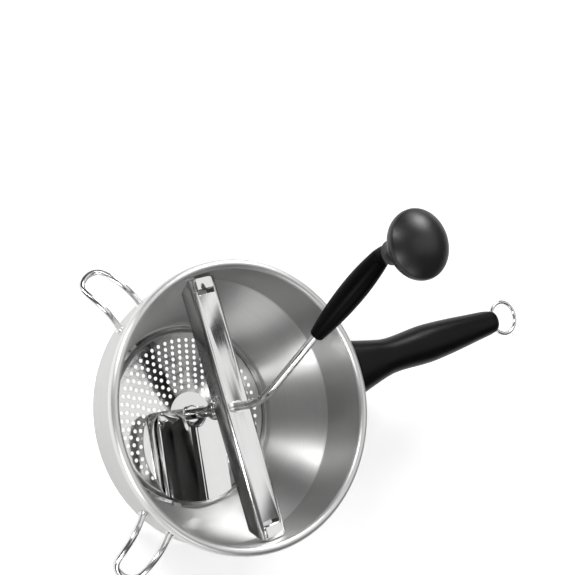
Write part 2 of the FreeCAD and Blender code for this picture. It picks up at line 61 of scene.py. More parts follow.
MM = 0.001
UP = Vector((0, 0, 1))
IMAGE_WIDTH = 575
FOCAL_PIXELS = 1219.0
CAMERA_PLACE = (-0.44650, 0.06073, 0.83905)
CAMERA_DEGREES = (11.2707, -32.4433, -18.9774)
FLOOR_X, FLOOR_Y = (-1.0, 1.3), (-1.1, 1.1)
# Name, place, aim, width, height and power of each lamp.
LAMPS = (
    ("key", (0.82, 0.97, 0.88), (0.05, 0.0, 0.05), 0.6, 0.6, 11.5),
    ("fill", (-0.37, -1.2, 0.83), (0.0, 0.0, 0.04), 0.8, 0.4, 3.2),
    ("strip_left", (-0.73, 1.04, 0.88), (0.0, 0.0, 0.04), 0.16, 0.9, 8.0),
    ("strip_right", (-1.19, -0.46, 0.88), (0.0, 0.0, 0.04), 0.18, 0.9, 9.0),
)


def length(name, description, default):
    """A size in metres, given in millimetres."""
    return FloatProperty(name=name, description=description, default=default * MM,
                         unit="LENGTH", subtype="DISTANCE", precision=5)


def angle(name, description, default):
    """An angle, given in degrees."""
    return FloatProperty(name=name, description=description, default=math.radians(default),
                         unit="ROTATION", subtype="ANGLE")


def colour(name, description, default):
    """A linear colour."""
    return FloatVectorProperty(name=name, description=description, default=default,
                               subtype="COLOR", size=3, min=0.0, max=1.0)


def share(name, description, default):
    """A number between nought and one."""
    return FloatProperty(name=name, description=description, default=default,
                         subtype="FACTOR", min=0.0, max=1.0)


class MillSizes(bpy.types.PropertyGroup):
    """Sizes of the visible pieces."""

    rim_radius: length("Rim radius", "Outside of the rolled rim", 106.0)
    bowl_height: length("Bowl height", "From the standing ring to the top of the rim", 92.0)
    bowl_sheet: length("Bowl sheet", "Thickness of the bowl's sheet", 0.8)
    rim_width: length("Rim width", "Width of the rolled rim", 6.8)
    rim_drop: length("Rim drop", "Height of the rim's outer side", 6.4)
    band_depth: length("Band depth", "Height of the straight band under the rim", 45.0)
    well_radius: length("Well radius", "Inside of the well that holds the disc", 71.0)
    well_depth: length("Well depth", "Height of the well above its ledge", 6.0)
    ledge_width: length("Ledge width", "Inward ledge that the disc lies on", 7.0)
    lug_sheet: length("Lug sheet", "Thickness of the two lugs", 1.5)
    lug_reach: length("Lug reach", "From the wall to the tip of a lug", 11.8)
    lug_width: length("Lug width", "Width of a lug", 13.5)
    bar_drop: length("Bar drop", "From the rim down to the cross bar's top", 14.0)
    bar_width: length("Bar width", "Width of the cross bar", 22.0)
    bar_depth: length("Bar depth", "Height of the cross bar's sides", 16.0)
    bar_sheet: length("Bar sheet", "Thickness of the cross bar's sheet", 1.2)
    bar_half: length("Bar half length", "From the middle to the end of the cross bar", 96.5)
    bar_slant: length("Bar slant", "How far the cross bar's ends slope inwards", 7.0)
    edge_break: length("Edge break", "Rounding of the cut edges of lugs and bar", 0.25)
    blade_radius: length("Blade radius", "Outer edge of the blade", 66.0)
    blade_corner: length("Blade corner", "Radius of the blade's drawn-in corner", 42.5)
    blade_front: length("Blade front", "From the rod's axis to the blade's front edge", 5.0)
    blade_bend: length("Blade bend", "Radius of the blade's front corner", 9.0)
    blade_sheet: length("Blade sheet", "Thickness of the blade", 1.2)
    blade_turn: angle("Blade turn", "From the handle's line to the blade's front edge", -8.5)
    hub_opening: length("Hub opening", "Radius of the blade's opening for the hub", 8.6)
    disc_top: length("Disc height", "Upper side of the sieve disc", 4.6)
    disc_cone: share("Disc cone", "Slope of the sieve disc's polish", 0.22)
    disc_flat: length("Disc flat", "Radius of the sieve disc's flat middle", 17.5)
    rod_radius: length("Rod radius", "Radius of the crank rod", 3.0)
    crank_angle: angle("Crank angle", "Direction of the crank, from the handle's line", 48.0)
    crank_slope: angle("Crank slope", "Rise of the crank's sloping run", 42.0)
    crank_reach: length("Crank reach", "From the bowl's axis to the knob's axis", 101.0)
    rod_bend: length("Rod bend", "Radius of the bend where the rod leaves the upright", 38.0)
    crank_bend: length("Bend height", "Height of the corner of the rod's first bend", 109.0)
    grip_start: length("Grip start", "Along the slope, where the crank's grip begins", 62.5)
    grip_radius: length("Grip radius", "Radius of the crank's grip at its widest", 9.0)
    knob_radius: length("Knob radius", "Radius of the knob at its widest", 23.8)
    knob_height: length("Knob height", "From the knob's foot to its top", 42.5)
    handle_length: length("Handle length", "Length of the long handle", 159.8)
    handle_drop: length("Handle drop", "From the rim down to the handle's middle", 17.0)
    ring_radius: length("Ring radius", "Middle of the hanging ring's wire", 13.4)
    ring_wire: length("Ring wire", "Diameter of the hanging ring's wire", 3.4)
    hook_wire: length("Hook wire", "Diameter of the pot hooks' wire", 4.8)
    hook_drop: length("Hook drop", "From the rim down to the hooks' feet", 33.0)
    hook_left_angle: angle("Left hook", "Place of the left hook round the bowl", 123.0)
    hook_right_angle: angle("Right hook", "Place of the right hook round the bowl", -142.0)
    spring_radius: length("Spring radius", "Middle of the spring's wire", 5.8)
    spring_wire: length("Spring wire", "Diameter of the spring's wire", 1.4)
    spring_turns: IntProperty(name="Spring turns", description="Coils of the spring",
                              default=8, min=2, max=20)


class MillFinish(bpy.types.PropertyGroup):
    """Colours and finishes."""

    satin: colour("Satin steel", "Colour of the bowl's satin steel", (0.74, 0.74, 0.735))
    polished: colour("Polished steel", "Colour of the polished steel", (0.83, 0.83, 0.825))
    spring: colour("Spring steel", "Colour of the spring wire", (0.62, 0.62, 0.62))
    plastic: colour("Black plastic", "Colour of handle and grip", (0.002, 0.002, 0.0022))
    knob: colour("Knob", "Colour of the knob", (0.008, 0.008, 0.0084))
    floor: colour("Floor", "Colour of the floor", (0.9, 0.9, 0.9))
    brushing: share("Brushing", "How far the brushed lines stretch the bowl's highlights", 0.9)


def flat(x, z):
    """A point in the XZ plane."""
    return Vector((x, 0, z))


def circle(count):
    """Cosine and sine at even steps round a circle."""
    return [(math.cos(a), math.sin(a)) for a in (2 * math.pi * j / count for j in range(count))]


def rounded_path(points, bends, step=6.0):
    """Points along straight runs that are joined by tangent arcs."""
    path = [points[0]]
    for before, corner, after, bend in zip(points, points[1:], points[2:], bends):
        come = (corner - before).normalized()
        leave = (after - corner).normalized()
        swing = come.angle(leave)
        inward = (leave - come).normalized()
        centre = corner + inward * (bend / math.cos(swing / 2))
        arm = corner - come * (bend * math.tan(swing / 2)) - centre
        axis = come.cross(leave).normalized()
        count = max(2, math.ceil(math.degrees(swing) / step))
        path += [centre + Matrix.Rotation(swing * i / count, 3, axis) @ arm
                 for i in range(count + 1)]
    path.append(points[-1])
    return [p for i, p in enumerate(path) if i == 0 or (p - path[i - 1]).length > 1e-7]


def tangent_arc(start, direction, end, count):
    """Points of the arc from a start and direction to an end, and its direction there."""
    chord = end - start
    along = chord.normalized()
    half = direction.angle(chord)
    leaving = along * (2 * direction.dot(along)) - direction
    aside = (direction - along * direction.dot(along)).normalized()
    radius = chord.length / (2 * math.sin(half))
    centre = start + chord / 2 - aside * (radius * math.cos(half))
    spoke = start - centre
    axis = spoke.cross(direction).normalized()
    points = [centre + Matrix.Rotation(2 * half * i / count, 3, axis) @ spoke
              for i in range(count + 1)]
    return points, leaving


def finer(path, spacing):
    """The same line with extra points on its long runs."""
    points = [path[0]]
    for a, b in zip(path, path[1:]):
        count = max(1, math.ceil((b - a).length / spacing))
        points += [a.lerp(b, i / count) for i in range(1, count + 1)]
    return points


def eased(path, reach):
    """The same line with every point drawn to the mean of its neighbours, and its ends kept."""
    points = []
    for i in range(len(path)):
        k = min(reach, i, len(path) - 1 - i)
        points.append(sum(path[i - k:i + k + 1], Vector()) / (2 * k + 1))
    return points


def sheet_sides(path, thickness):
    """The two sides of bent sheet whose middle is a line in the XZ plane."""
    left, right = [], []
    for i, p in enumerate(path):
        come = (p - path[i - 1]).normalized() if i else None
        leave = (path[i + 1] - p).normalized() if i + 1 < len(path) else come
        come = come or leave
        first, second = flat(-come.z, come.x), flat(-leave.z, leave.x)
        shift = (first + second) * (thickness / 2 / (1 + first.dot(second)))
        left.append(p + shift)
        right.append(p - shift)
    return left, right


def new_piece(name, points, faces):
    """A mesh object in the scene."""
    mesh = bpy.data.meshes.new(name)
    mesh.from_pydata([tuple(p) for p in points], [], faces)
    mesh.validate()
    mesh.update()
    piece = bpy.data.objects.new(name, mesh)
    bpy.context.scene.collection.objects.link(piece)
    return piece


def grid_piece(name, rows, close_rows=False, close_columns=True, caps=False):
    """A skin of quads over rows of points."""
    wide = len(rows[0])
    faces = []
    for i in range(len(rows) if close_rows else len(rows) - 1):
        for j in range(wide if close_columns else wide - 1):
            a, b = i * wide, ((i + 1) % len(rows)) * wide
            k = (j + 1) % wide
            faces.append((a + j, a + k, b + k, b + j))
    if caps:
        last = (len(rows) - 1) * wide
        faces.append(tuple(range(wide - 1, -1, -1)))
        faces.append(tuple(last + j for j in range(wide)))
    return new_piece(name, [p for row in rows for p in row], faces)


def lathe(name, profile, steps, closed=False):
    """A turned form: a profile of radius and height spun round the Z axis."""
    rows = [[Vector((p.x * c, p.x * s, p.z)) for c, s in circle(steps)] for p in profile]
    return grid_piece(name, rows, close_rows=closed)


def tube(name, path, radii, sides, closed=False):
    """A round rod along a line, with one radius or a radius for each point."""
    if not hasattr(radii, "__len__"):
        radii = [radii] * len(path)
    count = len(path)
    rows = []
    side = None
    for i, p in enumerate(path):
        before = path[i - 1] if (i or closed) else p
        after = path[(i + 1) % count] if (i + 1 < count or closed) else p
        along = (after - before).normalized()
        if side is None:
            side = along.orthogonal().normalized()
        side = (side - along * side.dot(along)).normalized()
        other = along.cross(side)
        rows.append([p + (side * c + other * s) * radii[i] for c, s in circle(sides)])
    return grid_piece(name, rows, close_rows=closed, caps=not closed)


def bent_strip(name, path, thickness, reach):
    """Bent sheet: a line in the XZ plane with a thickness, reaching out along Y to both sides."""
    left, right = sheet_sides(path, thickness)
    outline = left + right[::-1]
    points = [Vector((p.x, way * reach(p), p.z)) for way in (-1, 1) for p in outline]
    count = len(outline)
    faces = []
    for j in range(count):
        k = (j + 1) % count
        faces.append((j, k, count + k, count + j))
    for j in range(len(left) - 1):
        a, b = count - 1 - j, count - 2 - j
        faces.append((j, a, b, j + 1))
        faces.append((count + j, count + j + 1, count + b, count + a))
    return outward(new_piece(name, points, faces))


def outward(piece):
    """Makes the faces look outwards."""
    work = bmesh.new()
    work.from_mesh(piece.data)
    bmesh.ops.remove_doubles(work, verts=work.verts, dist=1e-7)
    bmesh.ops.recalc_face_normals(work, faces=work.faces)
    work.to_mesh(piece.data)
    work.free()
    return piece


def settle(piece):
    """Turns a piece's modifiers into plain mesh."""
    bpy.context.view_layer.update()
    evaluated = piece.evaluated_get(bpy.context.evaluated_depsgraph_get())
    mesh = bpy.data.meshes.new_from_object(evaluated)
    old = piece.data
    piece.modifiers.clear()
    piece.data = mesh
    bpy.data.meshes.remove(old)


def cut(piece, *cutters):
    """Takes other forms away from a piece, and removes them."""
    for cutter in cutters:
        outward(cutter)
        change = piece.modifiers.new("cut", "BOOLEAN")
        change.operation = "DIFFERENCE"
        change.solver = "EXACT"
        change.object = cutter
    settle(piece)
    for cutter in cutters:
        bpy.data.objects.remove(cutter)


def soften(piece, width):
    """Rounds sharp edges."""
    change = piece.modifiers.new("edge", "BEVEL")
    change.width = width
    change.segments = 2
    change.limit_method = "ANGLE"
    change.angle_limit = math.radians(35.0)
    settle(piece)


def block(name, low, high):
    """A box between two corners, for cutting."""
    xs, ys, zs = zip(low, high)
    points = [Vector((x, y, z)) for x in xs for y in ys for z in zs]
    faces = [(0, 1, 3, 2), (4, 6, 7, 5), (0, 4, 5, 1), (2, 3, 7, 6), (0, 2, 6, 4), (1, 5, 7, 3)]
    return new_piece(name, points, faces)


def turn(piece, radians):
    """Turns a piece about the Z axis, in its mesh."""
    piece.data.transform(Matrix.Rotation(radians, 4, "Z"))


def join(parts):
    """Joins meshes into the first one."""
    first = parts[0]
    points, faces = [], []
    for part in parts:
        base = len(points)
        points += [v.co.copy() for v in part.data.vertices]
        faces += [tuple(base + i for i in polygon.vertices) for polygon in part.data.polygons]
    mesh = bpy.data.meshes.new(first.name)
    mesh.from_pydata(points, [], faces)
    first.data = mesh
    for part in parts[1:]:
        bpy.data.objects.remove(part)
    return first


def place(piece, body, slot, nodes, *finishes, crease=35.0):
    """Gives a piece its finishes and body, and hides the solids that it stands for."""
    outward(piece)
    for polygon in piece.data.polygons:
        polygon.use_smooth = True
    piece.data.set_sharp_from_angle(angle=math.radians(crease))
    for finish in finishes:
        piece.data.materials.append(finish)
    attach(piece, body)
    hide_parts(*nodes)


class Nodes:
    """Adds nodes to one tree, with numbers or sockets as their values."""

    def __init__(self, tree):
        self.tree = tree

    def fill(self, made, inputs):
        """Gives a node's inputs their values and links."""
        for socket, value in inputs.items():
            if isinstance(value, bpy.types.NodeSocket):
                self.tree.links.new(value, made.inputs[socket])
            else:
                made.inputs[socket].default_value = value

    def add(self, kind, inputs=None, **settings):
        """The outputs of a new node with its settings, values and links."""
        made = self.tree.nodes.new(kind)
        for name, value in settings.items():
            setattr(made, name, value)
        self.fill(made, inputs or {})
        return made.outputs

    def math(self, operation, *values):
        """The result of a sum."""
        return self.add("ShaderNodeMath", dict(enumerate(values)), operation=operation)[0]

    def times(self, first, second):
        """One value multiplied by another."""
        return self.math("MULTIPLY", first, second)

    def plus(self, first, second):
        """One value added to another."""
        return self.math("ADD", first, second)

    def spread(self, value, low, high, start=0.0, end=1.0, kind="LINEAR"):
        """A value that goes from low to high while its input goes from start to end."""
        inputs = {0: value, 1: start, 2: end, 3: low, 4: high}
        return self.add("ShaderNodeMapRange", inputs, interpolation_type=kind)[0]

    def noise(self, vector, scale, detail=3.0, roughness=0.55):
        """Smooth noise along a vector."""
        inputs = {"Vector": vector, "Scale": scale, "Detail": detail, "Roughness": roughness}
        return self.add("ShaderNodeTexNoise", inputs)[0]

    def bump(self, height, strength, distance, under=None):
        """A bumped surface, laid over another one if there is one."""
        inputs = {"Height": height, "Strength": strength, "Distance": distance}
        if under is not None:
            inputs["Normal"] = under
        return self.add("ShaderNodeBump", inputs)[0]

    def tinted(self, factor, first, second):
        """A colour between two colours."""
        inputs = {0: factor, 6: (*first, 1), 7: (*second, 1)}
        return self.add("ShaderNodeMix", inputs, data_type="RGBA")[2]

    def stretched(self, vector, scale):
        """Coordinates stretched along each axis."""
        return self.add("ShaderNodeMapping", {"Vector": vector, "Scale": scale})[0]

    def split(self, vector):
        """The three parts of a vector."""
        return self.add("ShaderNodeSeparateXYZ", {0: vector})

    def rings(self, vector, about, out, up):
        """Distance from the Z axis, and scaled coordinates round the axis, out from it and up."""
        x, y, z = self.split(vector)
        across = self.math("SQRT", self.plus(self.times(x, x), self.times(y, y)))
        inputs = {0: self.times(self.math("ARCTAN2", y, x), about), 1: self.times(across, out),
                  2: self.times(z, up)}
        return across, self.add("ShaderNodeCombineXYZ", inputs)[0]

    def edge_wear_and_highlight(self, low, high):
        """A mask of convex edges, used for worn plastic edges and for the painted edge highlight
        on polished steel.
        """
        point = self.add("ShaderNodeNewGeometry")["Pointiness"]
        return self.spread(point, 0.0, 1.0, low, high)


def shade(tint, factor, lift=0.0):
    """A darker or paler tint."""
    return tuple(min(1, factor * c + lift) for c in tint)


def new_material(name):
    """An empty node material, its nodes, its shader and its object coordinates."""
    material = bpy.data.materials.new(name)
    material.use_nodes = True
    n = Nodes(material.node_tree)
    place_of = n.add("ShaderNodeTexCoord")["Object"]
    return material, n, n.tree.nodes["Principled BSDF"], place_of


def satin_steel(name, tint, brushing):
    """Sheet steel brushed in rings about the bowl's axis."""
    material, n, shader, place_of = new_material(name)
    _, rings = n.rings(place_of, 1.2, 1700.0, 1700.0)
    lines = n.noise(rings, 1.6, 4.0, 0.65)
    cloud = n.noise(place_of, 28.0, 2.0)
    uneven = n.plus(lines, n.times(cloud, 0.5))
    n.fill(shader, {
        "Base Color": n.tinted(lines, shade(tint, 0.84), shade(tint, 1.12)),
        "Metallic": 1.0,
        "Roughness": n.spread(uneven, 0.36, 0.48, 0.3, 1.1),
        "Anisotropic": brushing,
        "Anisotropic Rotation": 0.25,
        "Normal": n.bump(lines, 0.08, 0.1 * MM),
        "Tangent": n.add("ShaderNodeTangent", direction_type="RADIAL", axis="Z")[0]})
    return material


def polished_steel(name, tint, grain, roughness=0.07, rise=None):
    """Mirror-polished steel with fine rubbing marks, smudges, a painted edge highlight and pressed
    slopes.
    """
    material, n, shader, place_of = new_material(name)
    rubbed = n.noise(n.stretched(place_of, grain), 1.0, 5.0, 0.6)
    smudge = n.noise(place_of, 45.0, 3.0)
    # Painted edge highlight: convex edges are painted paler, mixed with the random smudge tone.
    smudge_and_edge_highlight = n.math("MAXIMUM", smudge, n.edge_wear_and_highlight(0.5, 0.62))
    uneven = n.plus(smudge, n.times(rubbed, 0.6))
    slopes = n.bump(rise(n, place_of), 1.0, 1.0) if rise else None
    n.fill(shader, {
        "Base Color": n.tinted(smudge_and_edge_highlight, shade(tint, 0.93), shade(tint, 1.07)),
        "Metallic": 1.0,
        "Roughness": n.spread(uneven, 0.6 * roughness, 1.8 * roughness, 0.5, 1.1),
        "Normal": n.bump(rubbed, 0.05, 0.06 * MM, slopes)})
    return material


def sieve_steel(name, tint, cone, flat_radius):
    """Polished sheet that leans outwards round its flat middle, with a turned grain and dents."""
    material, n, shader, place_of = new_material(name)
    across, rings = n.rings(place_of, 2.0, 1200.0, 1.0)
    smudge = n.noise(place_of, 60.0, 3.0)
    lean = n.times(n.math("MAXIMUM", across, flat_radius), -cone)
    dented = n.bump(n.noise(place_of, 160.0, 2.0), 0.25, 0.6 * MM, n.bump(lean, 1.0, 1.0))
    n.fill(shader, {
        "Base Color": n.tinted(smudge, shade(tint, 0.93), tint),
        "Metallic": 1.0,
        "Roughness": n.spread(smudge, 0.06, 0.16, 0.3, 0.7),
        "Normal": n.bump(n.noise(rings, 1.0, 3.0), 0.06, 0.08 * MM, dented)})
    return material


def black_plastic(name, tint, roughness, sheen, seam=None):
    """Moulded plastic with an eggshell surface, faint rubbing and a parting line at one height."""
    material, n, shader, place_of = new_material(name)
    cloud = n.noise(place_of, 55.0, 3.0)
    rub = n.noise(n.stretched(place_of, (60.0, 700.0, 700.0)), 1.0, 4.0)
    surface = n.bump(n.noise(place_of, 2600.0, 2.0), 0.18, 0.12 * MM)
    if seam is not None:
        away = n.math("ABSOLUTE", n.math("SUBTRACT", n.split(place_of)[2], seam))
        surface = n.bump(n.spread(away, 1.0, 0.0, 0.0, 0.35 * MM), 0.35, 0.1 * MM, surface)
    worn = n.plus(n.times(n.times(cloud, rub), 0.7), n.times(n.edge_wear_and_highlight(0.52, 0.7), 0.5))
    uneven = n.plus(cloud, n.times(rub, 0.5))
    n.fill(shader, {
        "Base Color": n.tinted(worn, tint, shade(tint, 1.9, 0.001)),
        "Roughness": n.spread(uneven, roughness - 0.06, roughness + 0.08, 0.4, 1.1),
        "Specular IOR Level": sheen,
        "Normal": surface})
    return material


def sizes_of(context):
    """The sizes and finishes in use."""
    return context.scene.mill_sizes, context.scene.mill_finish


class MILL_OT_bowl(bpy.types.Operator):
    """Spin the bowl with its rolled rim"""

    bl_idname = "mill.bowl"
    bl_label = "Bowl"

    def execute(self, context):
        s, f = sizes_of(context)
        half = s.bowl_sheet / 2
        inner = s.rim_radius - s.rim_width + half
        outer = s.rim_radius - half
        roll = (outer - inner) / 2
        top = s.bowl_height - half
        band = s.bowl_height - s.band_depth
        corners = [(s.well_radius - s.ledge_width, half), (s.well_radius + half, half),
                   (s.well_radius + half, s.bowl_sheet + s.well_depth),
                   (inner, band), (inner, top), (outer, top), (outer, s.bowl_height - s.rim_drop)]
        well_bend, cone_bend, spacing = 1.4 * MM, 6 * MM, 4 * MM
        bends = (well_bend, well_bend, cone_bend, roll, roll)
        path = rounded_path([flat(*corner) for corner in corners], bends)
        left, right = sheet_sides(finer(path, spacing), s.bowl_sheet)
        bowl = lathe("bowl_skin", left + right[::-1], 240, closed=True)
        # Painted light and shade: the rim is a paler copy of the satin steel with a lighter
        # brushing, and the outside and the band under the rim are darker copies.
        place(bowl, "mill", "satin_steel", ["bowl"],
              satin_steel("bowl_satin", f.satin, f.brushing),
              satin_steel("rim_satin_painted_light", shade(f.satin, 1.1), brushing=0.3),
              satin_steel("outside_satin_painted_shade", shade(f.satin, 0.92), brushing=0.2),
              satin_steel("band_satin_painted_shade", shade(f.satin, 0.72), f.brushing))
        # Rim faces take the painted-light copy; outward faces and the band take the painted-shade
        # copies.
        rim_painted_light_finish, outside_painted_shade_finish, band_painted_shade_finish = 1, 2, 3
        past_wall = inner + half * 1.05
        for polygon in bowl.data.polygons:
            centre, facing = polygon.center, polygon.normal
            beyond = math.hypot(centre.x, centre.y) > past_wall
            if centre.z > s.bowl_height - (2 * roll if beyond else roll):
                polygon.material_index = rim_painted_light_finish
            elif centre.x * facing.x + centre.y * facing.y > 0:
                polygon.material_index = outside_painted_shade_finish
            elif centre.z > band:
                polygon.material_index = band_painted_shade_finish
        return {"FINISHED"}


class MILL_OT_lugs(bpy.types.Operator):
    """Fold the two lugs that hold the cross bar down"""

    bl_idname = "mill.lugs"
    bl_label = "Lugs"

    def execute(self, context):
        s, f = sizes_of(context)
        half = s.lug_sheet / 2
        bar_top = s.bowl_height - s.bar_drop
        bar_gap, foot, hook = 0.1 * MM, 14 * MM, 3.2 * MM
        tongue = bar_top + bar_gap + half
        wall = s.rim_radius - s.rim_width - half
        tip = s.rim_radius - s.rim_width - s.lug_reach + half
        corners = [flat(wall, tongue - foot), flat(wall, tongue), flat(tip, tongue),
                   flat(tip, bar_top - hook)]
        path = rounded_path(corners, (2 * MM, 0.8 * MM), 12.0)
        finish = polished_steel("lug_steel", f.polished, (900.0, 60.0, 60.0))
        for name, degrees in (("lug_left", 90), ("lug_right", -90)):
            lug = bent_strip(name + "_strip", path, s.lug_sheet, lambda p: s.lug_width / 2)
            soften(lug, s.edge_break)
            turn(lug, math.radians(degrees))
            place(lug, "mill", "satin_steel", [name], finish)
        return {"FINISHED"}


def weld_ring(foot, direction, radius):
    """A small weld fillet round the foot of a wire."""
    fillet, sunk, steps = 1.3 * MM, 0.3 * MM, 6
    profile = [flat(radius + fillet, -sunk)]
    for i in range(steps + 1):
        a = math.radians(90 * i / steps)
        profile.append(flat(radius + fillet * (1 - math.sin(a)), fillet * (1 - math.cos(a))))
    ring = lathe("weld", profile, 28)
    lean = UP.rotation_difference(direction.normalized()).to_matrix().to_4x4()
    ring.data.transform(Matrix.Translation(foot) @ lean)
    return ring


class MILL_OT_hooks(bpy.types.Operator):
    """Bend the two wire hooks and weld them to the wall"""

    bl_idname = "mill.hooks"
    bl_label = "Pot hooks"

    def execute(self, context):
        s, f = sizes_of(context)
        wall = s.rim_radius - s.rim_width + s.bowl_sheet
        height = s.bowl_height - s.hook_drop
        # Way out from the wall, gap between the two sides and rise, in millimetres.
        side = [(-0.1, 25.0, 0.0), (15.0, 23.25, 5.0), (30.0, 21.5, 1.0), (41.0, 19.5, -7.0)]
        points = [Vector((wall + out * MM, -gap * MM / 2, height + rise * MM))
                  for out, gap, rise in side]
        points += [Vector((p.x, -p.y, p.z)) for p in points[::-1]]
        bends = [14 * MM, 14 * MM, 9 * MM]
        spacing, reach = 1.2 * MM, 5
        path = finer(rounded_path(points, bends + bends[::-1], 5.0), spacing)
        path = eased(eased(path, reach), reach)
        finish = polished_steel("hook_wire", f.polished, (60.0, 900.0, 60.0), roughness=0.17)
        for name, about in (("hook_left", s.hook_left_angle), ("hook_right", s.hook_right_angle)):
            parts = [tube(name + "_wire", path, s.hook_wire / 2, 28)]
            for foot, ahead in ((path[0], path[1]), (path[-1], path[-2])):
                parts.append(weld_ring(foot, ahead - foot, s.hook_wire / 2))
            hook = join(parts)
            turn(hook, about)
            place(hook, "mill", "polished_steel", [name], finish, crease=50.0)
        return {"FINISHED"}


class MILL_OT_sieve(bpy.types.Operator):
    """Polish the sieve disc and its small fittings"""

    bl_idname = "mill.sieve"
    bl_label = "Sieve disc"

    def execute(self, context):
        s, f = sizes_of(context)
        disc = sieve_steel("disc_polish", f.polished, s.disc_cone, s.disc_flat)
        turned = polished_steel("turned_steel", f.polished, (40.0, 40.0, 1200.0), roughness=0.1)
        plain = satin_steel("fitting_satin", f.satin, brushing=0.3)
        wanted = {disc: ("sieve_disc",),
                  turned: ("disc_boss", "hub_sleeve", "hub_pin", "spring_seat", "bar_bush"),
                  plain: ("knob_clip", "disc_stops", "handle_plate", "handle_tang")}
        for finish, names in wanted.items():
            for name in names:
                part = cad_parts[name]
                part.data.materials.clear()
                part.data.materials.append(finish)
        return {"FINISHED"}


class MILL_OT_cross_bar(bpy.types.Operator):
    """Fold the cross bar with its windows and rod hole"""

    bl_idname = "mill.cross_bar"
    bl_label = "Cross bar"

    def execute(self, context):
        s, f = sizes_of(context)
        half = s.bar_sheet / 2
        side = s.bar_width / 2 - half
        top = s.bowl_height - s.bar_drop
        low = top - s.bar_depth
        bend = 2.6 * MM
        corners = [flat(-side, low), flat(-side, top - half), flat(side, top - half),
                   flat(side, low)]
        path = rounded_path(corners, (bend, bend), 7.0)

        def end(p):
            fall = max(0.0, (top - bend - p.z) / (s.bar_depth - bend))
            return s.bar_half - s.bar_slant * fall

        bar = bent_strip("cross_bar_channel", path, s.bar_sheet, end)
        rod_hole, lug_gap, window_half, window_width = 4.6 * MM, 0.35 * MM, 7.1 * MM, 4.6 * MM
        window_floor = top - 2.4 * MM
        over = top + MM
        outer = s.rim_radius - s.rim_width - s.lug_reach + s.lug_sheet + lug_gap
        cutters = [tube("rod_hole", [flat(0, low), flat(0, over)], rod_hole, 48)]
        for way in (1, -1):
            near, far = sorted((way * (outer - window_width), way * outer))
            cutters.append(block("window", (-window_half, near, window_floor),
                                 (window_half, far, over)))
        cut(bar, *cutters)
        soften(bar, s.edge_break)
        grain = (1100.0, 30.0, 1100.0)
        # Painted shade: the channel's inside and its outer sides get darker copies of the steel.
        place(bar, "bar", "polished_steel", ["cross_bar"],
              polished_steel("bar_polish", f.polished, grain, roughness=0.14),
              satin_steel("bar_inside_painted_shade", shade(f.satin, 0.2), brushing=0.2),
              polished_steel("bar_side_painted_shade", shade(f.polished, 0.58), grain, roughness=0.16))
        # Faces under the top and inward faces take the darkest painted shade; the outer sides take
        # a lighter painted shade.
        inside_painted_shade_finish, side_painted_shade_finish = 1, 2
        for polygon in bar.data.polygons:
            centre, facing = polygon.center, polygon.normal
            under = facing.z < -0.3 and centre.z > low + MM
            upright = abs(facing.x) > 0.7
            if under or (upright and centre.x * facing.x < 0):
                polygon.material_index = inside_painted_shade_finish
            elif upright:
                polygon.material_index = side_painted_shade_finish
        return {"FINISHED"}


def height_along(path, x):
    """Height of a line that runs towards smaller x, at one x."""
    p, q = next((p, q) for p, q in zip(path, path[1:]) if x >= q.x)
    return p.z + (q.z - p.z) * (p.x - x) / (p.x - q.x)


def blade_rows(s):
    """Points of the blade's middle, in its own frame: rows from the front to the outer edge."""
    # Way along the front edge and rise above the disc, in millimetres.
    line = [(25.0, 1.2), (-1.0, 8.0), (-20.0, 5.0), (-33.0, 3.8), (-46.0, 19.5), (-66.0, 23.7)]
    corners = [flat(x * MM, s.disc_top + rise * MM) for x, rise in line]
    bends, spacing = (5 * MM, 30 * MM, 7 * MM, 5 * MM), 1.2 * MM
    path = finer(rounded_path(corners, bends, 4.0), spacing)
    shelf = corners[4].x
    joint = math.radians(-120)
    centre = Vector((math.cos(joint), math.sin(joint), 0)) * (s.blade_radius - s.blade_corner)
    crest = centre.x - s.blade_corner + 0.02 * MM
    meeting = s.blade_radius * math.cos(joint)
    lean = s.blade_corner - s.blade_bend
    knee = Vector((0, s.blade_front - s.blade_bend, 0))
    knee.x = centre.x - math.sqrt(lean ** 2 - (knee.y - centre.y) ** 2)
    touch = centre.x + (knee.x - centre.x) * s.blade_corner / lean
    close_from, end = -13 * MM, -9 * MM
    middle = (shelf + end) / 2
    lip = (height_along(path, shelf) - height_along(path, end)) / (end - shelf)
    collar_reach, collar_rise = 2.2 * MM, 0.9 * MM
    count, wide = 90, 80
    rows = []
    for i in range(count + 1):
        x = crest + (corners[0].x - crest) * (i / count) ** 1.3
        drawn_in = math.sqrt(max(0.0, s.blade_corner ** 2 - (x - centre.x) ** 2))
        high = min(s.blade_front, centre.y + drawn_in) if x < centre.x else s.blade_front
        if touch < x < knee.x:
            high = knee.y + math.sqrt(s.blade_bend ** 2 - (x - knee.x) ** 2)
        low = centre.y - drawn_in if x < meeting else -math.sqrt(s.blade_radius ** 2 - x ** 2)
        row = []
        for j in range(wide + 1):
            y = high + (low - high) * (j / wide) ** 1.7
            z = height_along(path, x)
            if shelf < x < end and y > close_from:
                t = (y - close_from) / (s.blade_front - close_from)
                inner = middle + (x - middle) / math.sqrt(max(1e-6, 1 - t * t))
                inner = min(max(inner, shelf), end)
                z = height_along(path, inner) + (inner - x) * lip
            collar = max(0.0, 1 - (math.hypot(x, y) - s.hub_opening) / collar_reach)
            row.append(Vector((x, y, z + collar_rise * min(collar, 1.0) ** 2)))
        rows.append(row)
    return rows


